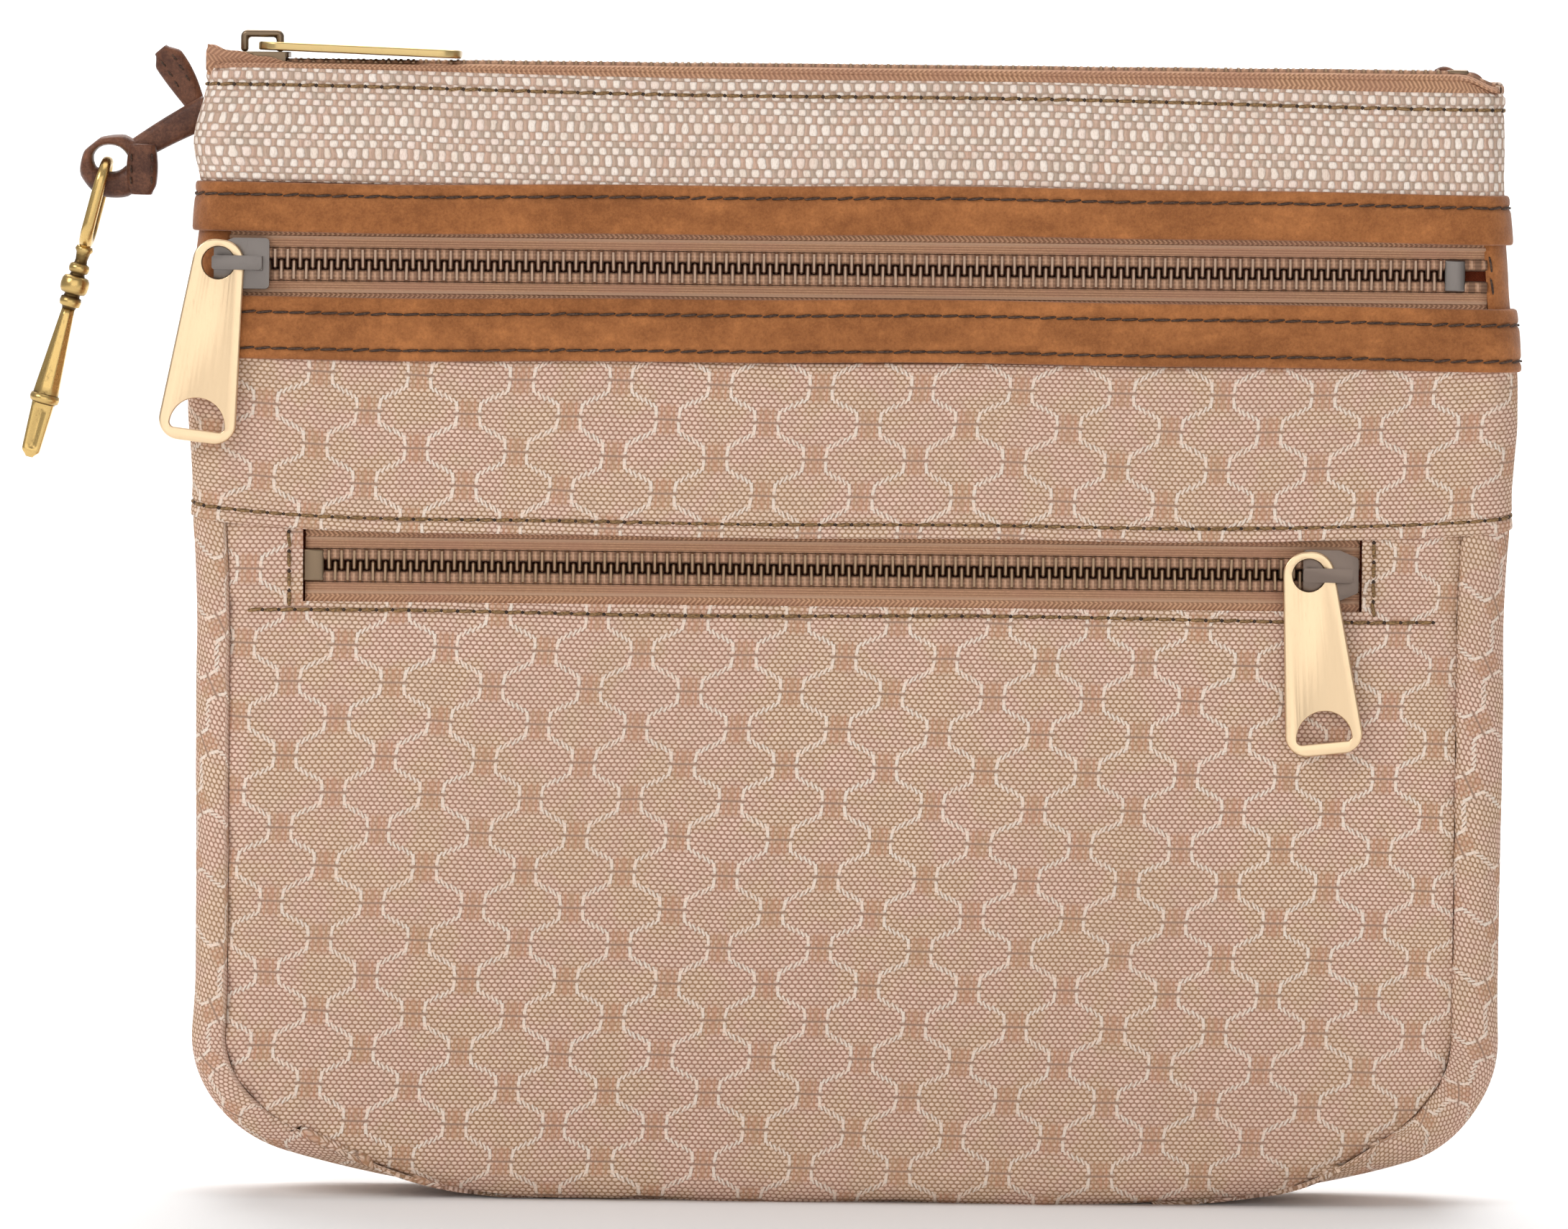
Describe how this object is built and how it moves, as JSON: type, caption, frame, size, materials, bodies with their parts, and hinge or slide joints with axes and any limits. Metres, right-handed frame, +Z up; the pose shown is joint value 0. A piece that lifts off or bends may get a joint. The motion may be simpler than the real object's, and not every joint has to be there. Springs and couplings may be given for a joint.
{
  "type": "zipped fabric pouch",
  "caption": "Slim fabric pouch with zip top and zipped front pockets, leather bands, metal pulls and a hanging key charm on a leather strap.",
  "frame": {"origin": "centre of the flat bottom that the pouch stands on", "axes": "+X along the width to the charm-free side, -Y out of the zipped front, +Z up to the top zip"},
  "size_m": [0.2889, 0.0329, 0.2241],
  "materials": {
    "basket_weave": "cream and tan basket weave, coarse yarns",
    "jacquard": "beige jacquard with a lattice of cream marks, matte",
    "suede": "warm tan suede-finish leather, matte with soft nap",
    "dark_leather": "dark reddish brown leather, slight sheen",
    "zip_tape": "brown herringbone zip tape",
    "pocket_lining": "orange-red plain lining cloth",
    "antique_teeth": "dark antique brass teeth",
    "gunmetal": "dark gunmetal plating, worn at the edges",
    "light_gold": "light satin gold plating",
    "antique_brass": "antique brass, dark in the recesses and bright on the edges"
  },
  "bodies": {
    "pouch": {"back_panel": "jacquard", "back_top_band": "basket_weave", "charm_strap": "dark_leather", "charm_strap_end": "dark_leather", "front_lower_panel": "jacquard", "front_top_band": "basket_weave", "front_upper_panel": "jacquard", "left_leather_end": "suede", "left_leather_tab": "dark_leather", "lower_leather_band": "suede", "lower_pocket_bag": "pocket_lining", "lower_pocket_rim": "pocket_lining", "lower_zip_high_tape": "zip_tape", "lower_zip_high_teeth": "antique_teeth", "lower_zip_low_tape": "zip_tape", "lower_zip_low_teeth": "antique_teeth", "lower_zip_stop": "antique_teeth", "main_lining": "pocket_lining", "right_leather_end": "suede", "right_leather_tab": "dark_leather", "side_strip": "jacquard", "top_zip_folded_end": "zip_tape", "top_zip_stop": "antique_teeth", "upper_leather_band": "suede", "upper_pocket_bag": "pocket_lining", "upper_pocket_rim": "pocket_lining", "upper_zip_high_tape": "zip_tape", "upper_zip_high_teeth": "antique_teeth", "upper_zip_low_tape": "zip_tape", "upper_zip_low_teeth": "antique_teeth", "upper_zip_stop": "gunmetal"},
    "upper slider": {"upper_slider_body": "gunmetal", "upper_slider_bridge": "gunmetal"},
    "upper pull": {"upper_pull": "light_gold"},
    "lower slider": {"lower_slider_body": "gunmetal", "lower_slider_bridge": "gunmetal"},
    "lower pull": {"lower_pull": "light_gold"},
    "top slider": {"top_slider_body": "gunmetal", "top_slider_bridge": "gunmetal"},
    "top pull": {"top_pull": "light_gold"},
    "front zip half": {"top_zip_front_tape": "zip_tape", "top_zip_front_teeth": "antique_teeth"},
    "back zip half": {"top_zip_back_tape": "zip_tape", "top_zip_back_teeth": "antique_teeth"},
    "key": {"key_bow": "antique_brass", "key_beads": "antique_brass", "key_shaft": "antique_brass", "key_blade": "antique_brass"}
  },
  "joints": [
    {"name": "top slider travel", "type": "slide", "parent": "pouch", "child": "top slider", "axis": [1, 0, 0], "range_m": [0, 0.218], "deforming": ["top_zip_front_tape", "top_zip_back_tape", "top_zip_front_teeth", "top_zip_back_teeth"]},
    {"name": "top pull swing", "type": "hinge", "parent": "top slider", "child": "top pull", "pos_m": [-0.1148, 0, 0.2211], "axis": [0, -1, 0], "range_deg": [0, 160]},
    {"name": "front zip half opening", "type": "hinge", "parent": "pouch", "child": "front zip half", "pos_m": [0, -0.0075, 0.2176], "axis": [1, 0, 0], "range_deg": [0, 80], "deforming": ["top_zip_front_tape", "top_zip_back_tape", "top_zip_front_teeth", "top_zip_back_teeth"]},
    {"name": "back zip half opening", "type": "hinge", "parent": "pouch", "child": "back zip half", "pos_m": [0, 0.0075, 0.2176], "axis": [-1, 0, 0], "range_deg": [0, 80]},
    {"name": "upper slider travel", "type": "slide", "parent": "pouch", "child": "upper slider", "axis": [1, 0, 0], "range_m": [0, 0.2247], "deforming": ["upper_zip_high_tape", "upper_zip_low_tape", "upper_zip_high_teeth", "upper_zip_low_teeth"]},
    {"name": "upper pull swing", "type": "hinge", "parent": "upper slider", "child": "upper pull", "pos_m": [-0.1222, -0.0099, 0.17945], "axis": [0, -0.9987, 0.0506], "range_deg": [-100, 38]},
    {"name": "lower slider travel", "type": "slide", "parent": "pouch", "child": "lower slider", "axis": [-1, 0, 0], "range_m": [0, 0.1872], "deforming": ["lower_zip_high_tape", "lower_zip_low_tape", "lower_zip_high_teeth", "lower_zip_low_teeth"]},
    {"name": "lower pull swing", "type": "hinge", "parent": "lower slider", "child": "lower pull", "pos_m": [0.0869, -0.01282, 0.12195], "axis": [0, -0.9987, 0.0506], "range_deg": [-100, 25]},
    {"name": "key swing", "type": "hinge", "parent": "pouch", "child": "key", "pos_m": [-0.14462, 0.0015, 0.19852], "axis": [0, -1, 0], "range_deg": [-75, 25]}
  ],
  "couplings": [
    {"joint": "front zip half opening", "follows": "top slider travel", "rad_per_m": 6.4049},
    {"joint": "back zip half opening", "follows": "top slider travel", "rad_per_m": 6.4049}
  ]
}
